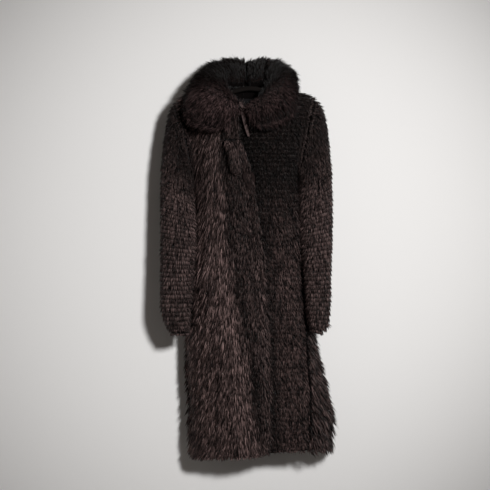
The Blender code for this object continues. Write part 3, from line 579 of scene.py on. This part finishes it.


# The back's fur is the longest at its foot, and painted shade darkens its top. A pile's sizes are in the
# order of PILE_SIZES.
body_panel(
    "front_right",
    sweep=lambda p: -0.25 * np.clip((-0.05 - p[:, 0]) / 0.12, -0.6, 1),
    reach=lambda p: 0.038 - 0.014 * beside(p, FOLD_LINE, FOLD_STEP),
    shade=right_shade,
    fur=long_fur,
    seed=11,
    sizes=(100000, 0.0040, 0.3, 0.34, 0.2, 0.014, 0.5, 0.0),
)
body_panel(
    "front_left",
    sweep=lambda p: 0.10 + 0 * p[:, 0],
    reach=lambda p: 0.024 + 0 * p[:, 0],
    shade=left_shade,
    fur=short_fur,
    seed=12,
    sizes=(105000, 0.0034, 0.3, 0.42, 0.35, 0.011, 0.5, 0.6),
)
body_panel(
    "back",
    sweep=lambda p: 0.20 * np.clip((p[:, 0] + 0.01) / 0.15, -1, 1),
    reach=lambda p: 0.034 + 0.006 * np.clip((-0.9 - p[:, 2]) / 0.2, 0, 1),
    shade=lambda p: faded(p[:, 2], -0.30, -0.50, 0.6),
    fur=long_fur,
    seed=13,
    sizes=(48000, 0.0052, 0.3, 0.36, 0.26, 0.018, 0.75, 0.0),
)


# The sleeves: one tube of skin each, let out in narrow strips so that the fur stands in rows round the
# arm. A sleeve's middle line and rings are told by its outermost and innermost points.
ROWS_START = 0.08  # along the sleeve
ROWS_BEFORE = 20  # rows are counted from well above the sleeve, so that no count is below nothing
PITCH_LIMITS = (0.003, 0.016)
SLEEVE_REACH = 0.021
CUFF_FADE, CUFF_LEAST = 0.04, 0.6  # the locks shorten to this share at the cuff
ARM_SHADED, ARM_LIT, ARM_FROM, ARM_OVER = 0.26, 0.94, 0.22, 0.25  # painted shade: darker near the shoulder
TAPER_FROM, TAPER_BEND = 0.86, 1.5
SLEEVE_HEAD = -0.17  # the sleeve's head rolls over from here
SLEEVE_STEPS = 160
SLEEVE_RINGS = {  # along the sleeve; its outer point's x and z; its inner point's x and z; its middle's y
    "sleeve_right": (
        (0.00, -0.193, -0.116, -0.159, -0.340, -0.012),
        (0.08, -0.221, -0.138, -0.176, -0.348, -0.013),
        (0.19, -0.241, -0.196, -0.176, -0.358, -0.014),
        (0.33, -0.2535, -0.300, -0.1765, -0.384, -0.020),
        (0.40, -0.2560, -0.356, -0.1760, -0.412, -0.024),
        (0.50, -0.2565, -0.436, -0.1730, -0.468, -0.031),
        (0.60, -0.2565, -0.520, -0.1710, -0.534, -0.037),
        (0.70, -0.2565, -0.604, -0.1760, -0.608, -0.044),
        (0.80, -0.2565, -0.682, -0.1830, -0.682, -0.050),
        (0.90, -0.2560, -0.756, -0.1880, -0.756, -0.056),
        (1.00, -0.2500, -0.818, -0.1940, -0.820, -0.059),
    ),
    "sleeve_left": (
        (0.00, 0.172, -0.116, 0.138, -0.340, -0.012),
        (0.08, 0.201, -0.134, 0.155, -0.348, -0.013),
        (0.19, 0.220, -0.196, 0.155, -0.358, -0.014),
        (0.33, 0.2305, -0.300, 0.1560, -0.384, -0.020),
        (0.40, 0.2340, -0.356, 0.1565, -0.412, -0.024),
        (0.50, 0.2350, -0.436, 0.1575, -0.468, -0.031),
        (0.60, 0.2350, -0.520, 0.1625, -0.534, -0.037),
        (0.70, 0.2320, -0.604, 0.1690, -0.608, -0.044),
        (0.80, 0.2290, -0.682, 0.1740, -0.682, -0.050),
        (0.90, 0.2280, -0.756, 0.1790, -0.752, -0.056),
        (1.00, 0.2100, -0.816, 0.1900, -0.808, -0.059),
    ),
}


def sleeve_line(table):
    """Outer and inner points of evenly spaced rings, and the middle's y."""
    rows = np.array(table)
    along = np.linspace(0, 1, SLEEVE_STEPS)
    columns = [np.interp(along, rows[:, 0], rows[:, k]) for k in range(1, 6)]
    outer, inner = np.stack(columns[:2], -1), np.stack(columns[2:4], -1)
    return along, outer, inner, columns[4]


def ring_at(line, points):
    """How far along the sleeve each point's ring is, and how far across it the point is."""
    along, outer, inner, _ = line
    flat = points[:, None, [0, 2]] - outer[None]
    span = inner - outer
    ahead = span[None, :, 0] * flat[..., 1] - span[None, :, 1] * flat[..., 0]
    if ahead[:, 0].mean() < 0:
        ahead = -ahead
    passed = np.maximum((ahead < 0).argmax(1), 1)
    passed[(ahead >= 0).all(1)] = len(along) - 1
    rows = np.arange(len(points))
    before, after = ahead[rows, passed - 1], ahead[rows, passed]
    share = np.clip(before / np.where(np.abs(before - after) < 1e-12, 1, before - after), 0, 1)
    at = along[passed - 1] + share * (along[passed] - along[passed - 1])
    across = np.sum(flat[rows, passed] * span[passed], -1) / np.sum(span[passed] ** 2, -1)
    return at, across


def sleeve_fields(bed, line):
    """Fur on a sleeve runs down it in rows a pitch apart on its outer side."""
    points, normals = bed_points(bed)
    along, outer, inner, depth = line
    at, across = ring_at(line, points)
    length = np.append(0, np.cumsum(np.linalg.norm(np.diff(outer, axis=0), axis=1)))
    out_step, in_step = np.gradient(outer, axis=0), np.gradient(inner, axis=0)
    narrow = np.linalg.norm(in_step, axis=1) / np.linalg.norm(out_step, axis=1)
    share = np.clip(across, 0, 1)
    ways = []
    for k in range(2):
        out_way, in_way = (np.interp(at, along, step[:, k]) for step in (out_step, in_step))
        ways.append(out_way + (in_way - out_way) * share)
    way = np.stack([ways[0], np.interp(at, along, np.gradient(depth)), ways[1]], -1)
    pitch = ROW_PITCH * (1 + (np.interp(at, along, narrow) - 1) * share)
    start = np.interp(ROWS_START, along, length)
    cuff = np.clip((1.0 - at) / CUFF_FADE, CUFF_LEAST, 1)
    with_fields(
        bed,
        flow=along_skin(way, normals),
        reach=SLEEVE_REACH * cuff,
        shade=ARM_SHADED + ARM_LIT * np.clip((at - ARM_FROM) / ARM_OVER, 0, 1),
        row=(np.interp(at, along, length) - start) / ROW_PITCH + ROWS_BEFORE,
        pitch=np.clip(pitch, *PITCH_LIMITS),
    )


def cuff_drawn_in(mesh, line, taper):
    """The outer side of the sleeve runs in towards the cuff."""
    points = read(mesh.vertices, "co")
    at, across = ring_at(line, points)
    way = np.sign(line[2][-1, 0] - line[1][-1, 0])
    down = np.clip((at - TAPER_FROM) / (1 - TAPER_FROM), 0, 1) ** TAPER_BEND
    points[:, 0] += way * taper * down * np.clip(1 - across, 0, 1)
    mesh.vertices.foreach_set("co", points.ravel())
    mesh.update()


def sleeve(node, fur, seed, taper, sizes):
    """One sleeve's skin, all round, and its rows of pile."""
    line = sleeve_line(SLEEVE_RINGS[node])

    def hollow(points):
        _, outer, inner, depth = line
        height = np.minimum(points[:, 2], SLEEVE_HEAD)
        ends = [np.interp(-height, -side[:, 1], side[:, 0]) for side in (outer, inner)]
        return np.stack([(ends[0] + ends[1]) / 2, np.interp(-height, -outer[:, 1], depth), height], -1)

    mesh = joined_copy(node)
    outward = outward_faces(mesh, hollow)
    thinned(mesh, outward, SLEEVE_SKIN_SHARE)
    cuff_drawn_in(mesh, line, taper)
    bed = only_faces(mesh, outward)
    sleeve_fields(bed, line)
    skin = placed(node + "_skin", mesh, underfur, [node])
    pile = grow(node + "_pile", bed, fur, seed, sizes)


sleeve_fur = fur_material("sleeve_fur", BROWN_DARK, BROWN_LIGHT)
for sleeve_node, sleeve_seed, cuff_taper in (("sleeve_right", 21, 0.024), ("sleeve_left", 22, 0.008)):
    sleeve(
        sleeve_node,
        fur=sleeve_fur,
        seed=sleeve_seed,
        taper=cuff_taper,
        sizes=(118000, 0.0032, 0.2, 0.62, 0.2, 0.009, 0.4, 0.95),
    )


# The collar: two halves of the longest fur, in its darkest colours, which are painted shade, joined at the
# centre back. It stands up from the neck, rolls, and falls over the shoulders, so its fur runs away from the
# neck all round.
NECK_CENTRE = (-0.0105, -0.010)
OUTSIDE_AWAY, INSIDE_AWAY = 0.8, 0.2  # how much the fur runs away from the neck, to each part down or up
INSIDE_SHORTER = 0.35
BACK_SHADE, FRONT_FROM, FRONT_OVER = 0.2, -0.03, 0.06  # painted shade: the collar is darkest behind the neck
# Inside the neck, painted shade makes the fur darker still.
INSIDE_DARKER = 0.6
TOP_SHADE, LEAF_LIT, LEAF_FROM, LEAF_OVER = 0.2, 0.85, -0.045, 0.07  # and painted shade along its top
LEFT_DARKER, LEFT_FROM, LEFT_OVER = 0.5, -0.02, 0.04  # and painted shade on the wearer's left


def collar_fields(bed, reach):
    """Fur on the collar runs up inside the neck, over the roll, and down its outside."""
    points, normals = bed_points(bed)
    away = np.stack([points[:, 0] - NECK_CENTRE[0], points[:, 1] - NECK_CENTRE[1], np.zeros(len(points))], -1)
    away = unit(away)
    facing_neck = np.clip(-np.sum(away * normals, -1) * 2, 0, 1)[:, None]
    outside = away * OUTSIDE_AWAY + np.array([0, 0, -1.0])
    inside = np.array([0, 0, 1.0]) + away * INSIDE_AWAY
    way = outside * (1 - facing_neck) + inside * facing_neck
    # Painted shade: darkest behind and inside the neck, along the top, and on the wearer's left.
    front = np.clip((FRONT_FROM - points[:, 1]) / FRONT_OVER, 0, 1)
    painted_shading = (BACK_SHADE + (1 - BACK_SHADE) * front) * (1 - INSIDE_DARKER * facing_neck[:, 0])
    painted_shading *= TOP_SHADE + LEAF_LIT * np.clip((LEAF_FROM - points[:, 2]) / LEAF_OVER, 0, 1)
    painted_shading *= 1 - LEFT_DARKER * np.clip((points[:, 0] - LEFT_FROM) / LEFT_OVER, 0, 1)
    short = 1 - INSIDE_SHORTER * facing_neck[:, 0]
    with_fields(bed, flow=along_skin(way, normals), reach=reach * short, shade=painted_shading)


RAY_START = 0.0002  # under the surface


def drawn_in(mesh, share, most):
    """Moves a solid's whole surface in by a share of its thickness."""
    points, normals = bed_points(mesh)
    tree = BVHTree.FromPolygons([Vector(p) for p in points], [tuple(f.vertices) for f in mesh.polygons])
    moved = points.copy()
    for index in range(len(points)):
        start = Vector(points[index] - normals[index] * RAY_START)
        hit = tree.ray_cast(start, Vector(-normals[index]))
        deep = hit[3] if hit[3] is not None else 0.0
        moved[index] -= normals[index] * min(deep * share, most)
    mesh.vertices.foreach_set("co", moved.ravel())
    mesh.update()


def slimmer(mesh, most, height, reach):
    """Narrows a solid's sides towards the coat's middle, most at one height."""
    points = read(mesh.vertices, "co")
    near = np.clip(1 - np.abs(points[:, 2] - height) / reach, 0, 1)
    points[:, 0] -= (points[:, 0] - BODY_MIDDLE) * most * near * near * (3 - 2 * near)
    mesh.vertices.foreach_set("co", points.ravel())
    mesh.update()


COLLAR_SLIM, SLIM_HEIGHT, SLIM_REACH = 0.09, -0.055, 0.085


def furry_solid(name, nodes, reach, fur, share, most, slim, fields, seed, sizes):
    """A piece furred all round: its skin, drawn in from its nodes' surface, and its pile."""
    mesh = joined_copy(*nodes)
    drawn_in(mesh, share, most)
    slimmer(mesh, slim, SLIM_HEIGHT, SLIM_REACH)
    bed = only_faces(mesh, np.ones(len(mesh.polygons), bool))
    fields(bed, reach)
    skin = placed(name + "_skin", mesh, underfur, nodes)
    pile = grow(name + "_pile", bed, fur, seed, sizes)


# The collar's fur is a darker copy of the coat's fur: its darker colours are painted shade.
shaded_collar_fur = fur_material(
    "shaded_collar_fur", (0.002, 0.0012, 0.0012), (0.16, 0.100, 0.098), gloss=0.14, tint=(1.0, 0.7, 0.66)
)
for collar_node, collar_seed in (("collar_right", 31), ("collar_left", 32)):
    furry_solid(
        collar_node,
        [collar_node + "_back", collar_node + "_front"],
        reach=0.034,
        fur=shaded_collar_fur,
        share=0.34,
        most=0.012,
        slim=COLLAR_SLIM,
        fields=collar_fields,
        seed=collar_seed,
        sizes=(150000, 0.0040, 0.3, 0.22, 0.16, 0.015, 0.4, 0.0),
    )


# The throat tab: a tongue of fur that hangs from the collar's right front end, on a narrow strip of
# skin. Its fur runs down it and out to its sides, and is short at its tip.
TAB_MIDDLE, TAB_SPREAD = -0.048, 4
TAB_TIP, TAB_FADE, TAB_LEAST = -0.346, 0.03, 0.3
TAB_TONE, TAB_RISE = 0.9, 0.7


def tab_fields(bed, reach):
    points, normals = bed_points(bed)
    count = len(points)
    way = np.stack([(points[:, 0] - TAB_MIDDLE) * TAB_SPREAD, np.zeros(count), -np.ones(count)], -1)
    near_tip = np.clip((points[:, 2] - TAB_TIP) / TAB_FADE, TAB_LEAST, 1)
    flow = along_skin(way, normals)
    with_fields(bed, flow=flow, reach=reach * near_tip, shade=TAB_TONE, rise=TAB_RISE)


furry_solid(
    "throat_tab",
    ["throat_tab"],
    reach=0.024,
    fur=long_fur,
    share=0.35,
    most=0.005,
    slim=0.0,
    fields=tab_fields,
    seed=41,
    sizes=(150000, 0.0032, 0.3, 0.4, 0.3, 0.012, 0.5, 0.0),
)


# The facings: smooth strips where the skin's edge is turned at the neck and at the right front, each a thin
# piece of sueded hide, the neck's painted lighter and the front's painted darker, as light and shade. The
# label is a small folded tag of dark woven cloth, sewn inside the back neck, and left plain.
BOW_ACROSS, BOW_DOWN, BOW_START = 190, 140, 1.0  # radians to a metre, and radians


def worked(node, material, bow):
    """A small flat piece, finely divided, with a slight uneven bow in it."""
    mesh = joined_copy(node)
    bm = bmesh.new()
    bm.from_mesh(mesh)
    bmesh.ops.subdivide_edges(bm, edges=bm.edges, cuts=3, use_grid_fill=True)
    bm.to_mesh(mesh)
    bm.free()
    points = read(mesh.vertices, "co")
    points[:, 1] += bow * np.sin(points[:, 0] * BOW_ACROSS + BOW_START) * np.sin(points[:, 2] * BOW_DOWN)
    mesh.vertices.foreach_set("co", points.ravel())
    piece = placed(node + "_piece", mesh, material, [node])


# One suede in two copies: painted lighter for the neck facing, and painted darker as shade for the front
# facing.
painted_lit_suede = skin_material("painted_lit_suede", (0.060, 0.042, 0.040, 1))
painted_shaded_suede = skin_material("painted_shaded_suede", (0.012, 0.0078, 0.0074, 1))
label_cloth = skin_material("label_cloth", (0.008, 0.0075, 0.008, 1))
worked("neck_facing", painted_lit_suede, 0.0003)
worked("front_facing", painted_shaded_suede, 0.0003)
worked("label", label_cloth, 0.0004)


# The hanger: stained wooden arms with the grain along them, and a hook of darkened steel wire with draw
# marks round it.
MARK_SCALE, RUB_SCALE = 40, 30  # to a metre, before the marks are drawn out
MARK_LIMITS, MARK_TONES = (0.3, 0.7), (0.5, 1.7)
RUBBED, DULLED = 0.15, 0.1  # off and on to the roughness


def marks_group():
    """Marks drawn out one way in the colour, and patches rubbed smoother."""
    inputs = [("Color", "Color"), ("Stretch", "Vector"), ("Smooth", "Float"), ("Rough", "Float")]
    outputs = [("Color", "Color"), ("Roughness", "Float"), ("Height", "Float")]
    group, given, made = effect_group("drawn_marks", inputs, outputs)
    add, link = group.nodes.new, group.links.new
    place = add("ShaderNodeTexCoord").outputs["Object"]
    drawn = add("ShaderNodeVectorMath")
    drawn.operation = "MULTIPLY"
    link(place, drawn.inputs[0])
    link(given["Stretch"], drawn.inputs[1])
    marks = noise(group, MARK_SCALE, 6.0, drawn.outputs[0])
    link(scaled(group, given["Color"], ranged(group, marks, *MARK_LIMITS, *MARK_TONES)), made["Color"])
    rubbed = ranged(group, noise(group, RUB_SCALE, 3.0, place), 0, 1)
    link(given["Smooth"], rubbed.node.inputs["To Min"])
    link(given["Rough"], rubbed.node.inputs["To Max"])
    link(rubbed, made["Roughness"])
    link(marks, made["Height"])
    return group


drawn_marks = marks_group()


def hard_material(name, colour, stretch, roughness, metallic=0.0):
    """A dark finish with the marks of how it was worked."""
    made, principled = shader(name, colour, roughness, gloss=0.1)
    principled.inputs["Metallic"].default_value = metallic
    tree = made.node_tree
    marks = tree.nodes.new("ShaderNodeGroup")
    marks.node_tree = drawn_marks
    given = {"Color": colour, "Stretch": stretch, "Smooth": roughness - RUBBED, "Rough": roughness + DULLED}
    for label, value in given.items():
        marks.inputs[label].default_value = value
    tree.links.new(marks.outputs["Color"], principled.inputs["Base Color"])
    tree.links.new(marks.outputs["Roughness"], principled.inputs["Roughness"])
    bumped(tree, principled, marks.outputs["Height"], 0.3, 0.0004)
    return made


wood = hard_material("stained_wood", (0.0035, 0.0022, 0.0018, 1), (0.6, 8.0, 8.0), 0.75)
steel = hard_material("dark_steel", (0.012, 0.012, 0.012, 1), (3.0, 3.0, 30.0), 0.5, 1.0)
for hanger_node, hanger_material in (("hanger_arms", wood), ("hanger_hook", steel)):
    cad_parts[hanger_node].data.materials.clear()
    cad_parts[hanger_node].data.materials.append(hanger_material)


# The wall behind it and the floor below: pale and plain. Seen from behind, the wall isn't there.
WALL_Y = 0.098
WALL_WHITE = (0.78, 0.77, 0.76, 1)

wall_paint, wall_shader = shader("wall_paint", WALL_WHITE, 0.9)
wall_tree = wall_paint.node_tree
see_through = wall_tree.nodes.new("ShaderNodeBsdfTransparent")
either = wall_tree.nodes.new("ShaderNodeMixShader")
wall_tree.links.new(wall_tree.nodes.new("ShaderNodeNewGeometry").outputs["Backfacing"], either.inputs[0])
wall_tree.links.new(wall_shader.outputs[0], either.inputs[1])
wall_tree.links.new(see_through.outputs[0], either.inputs[2])
wall_tree.links.new(either.outputs[0], wall_tree.nodes["Material Output"].inputs["Surface"])
STAGE_HALF = 6.0
STAGE_FRONT = 9.0
WALL_TOP = 4.0
FLOOR_Z = -1.9


def stage_sheet(name, corners, material):
    mesh = bpy.data.meshes.new(name)
    mesh.from_pydata(corners, [], [(0, 1, 2, 3)])
    mesh.materials.append(material)
    made = bpy.data.objects.new(name, mesh)
    bpy.context.scene.collection.objects.link(made)
    return made


def oblong(low, high):
    """The corners of an oblong, anticlockwise from its low one."""
    return (low[0], low[1]), (high[0], low[1]), (high[0], high[1]), (low[0], high[1])


upright = oblong((-STAGE_HALF, FLOOR_Z), (STAGE_HALF, WALL_TOP))
level = oblong((-STAGE_HALF, -STAGE_FRONT), (STAGE_HALF, STAGE_FRONT))
floor_paint, _ = shader("floor_paint", WALL_WHITE, 0.9)
wall = stage_sheet("wall", [(x, WALL_Y, z) for x, z in upright], wall_paint)
floor = stage_sheet("floor", [(x, y, FLOOR_Z) for x, y in level], floor_paint)


# Light: one soft lamp above and to the right throws the shadow to the lower left. A weak lamp on the
# left and a dim warm room fill it, and another lamp behind lights the back.
def lamp(name, place, target, power, size):
    light = bpy.data.lights.new(name, "AREA")
    light.energy = power
    light.size = size
    made = bpy.data.objects.new(name, light)
    made.location = place
    made.rotation_euler = (Vector(target) - Vector(place)).to_track_quat("-Z", "Y").to_euler()
    bpy.context.scene.collection.objects.link(made)


COAT_MIDDLE = (-0.015, 0.0, -0.552)
POOL_MIDDLE = (0.05, 0.0, -0.50)
ROOM_LIGHT = ((1, 0.90, 0.82, 1), 0.09)  # its colour and strength
key = bpy.data.objects.new("key", bpy.data.lights.new("key", "SPOT"))
key.data.energy = 555
key.data.shadow_soft_size = 0.2
key.data.spot_size = math.radians(45)
key.data.spot_blend = 1.0
key.location = (0.98, -3.45, 0.14)
key.rotation_euler = (Vector(POOL_MIDDLE) - key.location).to_track_quat("-Z", "Y").to_euler()
bpy.context.scene.collection.objects.link(key)
lamp("fill", (-2.5, -3.5, 0.5), COAT_MIDDLE, 1.5, 3.0)
lamp("behind", (-1.5, 3.0, 1.0), COAT_MIDDLE, 100, 2.0)

world = bpy.data.worlds.new("room")
bpy.context.scene.world = world
world.use_nodes = True
room = world.node_tree.nodes["Background"].inputs
room["Color"].default_value, room["Strength"].default_value = ROOM_LIGHT
bpy.context.scene.view_settings.view_transform = "Standard"


# The camera, straight on to the wall.
CAMERA_AWAY = 4.6
COAT_FRONT = 0.03
FRAME_HALF = 0.735
SENSOR = 36.0
camera = bpy.data.objects.new("camera", bpy.data.cameras.new("camera"))
camera.data.sensor_width = SENSOR
camera.data.lens = SENSOR / 2 * CAMERA_AWAY / FRAME_HALF
camera.location = (COAT_MIDDLE[0], -CAMERA_AWAY - COAT_FRONT, COAT_MIDDLE[2])
camera.rotation_euler = (math.radians(90), 0, 0)
bpy.context.scene.collection.objects.link(camera)
bpy.context.scene.camera = camera
